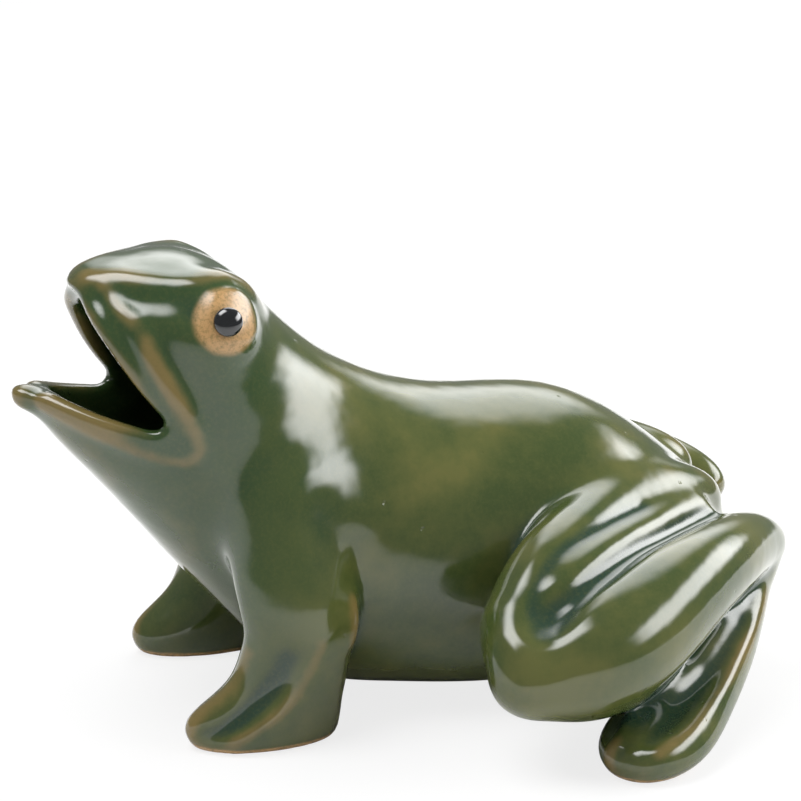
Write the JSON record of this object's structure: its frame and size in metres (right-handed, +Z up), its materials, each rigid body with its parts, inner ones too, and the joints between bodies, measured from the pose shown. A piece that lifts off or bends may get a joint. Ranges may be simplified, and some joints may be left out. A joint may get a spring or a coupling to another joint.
{
  "type": "frog figurine",
  "caption": "Hollow glazed stoneware frog sitting with its head raised and its mouth wide open, round buff eyes with black beads, and folded legs that rest flat on the ground.",
  "frame": {"origin": "on the ground under the middle of the frog's overall length and width", "axes": "+Z up, the frog faces -Y, its left side is towards +X"},
  "size_m": [0.221, 0.2539, 0.1509],
  "materials": {
    "green_glaze": "glossy moss green glaze that breaks to tan on edges",
    "buff_clay": "buff clay under clear glaze",
    "black_glaze": "glossy black"
  },
  "bodies": {
    "root": {"body_shell": "green_glaze", "left_foreleg": "green_glaze", "right_foreleg": "green_glaze", "left_hind_leg": "green_glaze", "right_hind_leg": "green_glaze", "left_eye_mound": "buff_clay", "right_eye_mound": "buff_clay", "left_pupil": "black_glaze", "right_pupil": "black_glaze"}
  },
  "joints": []
}
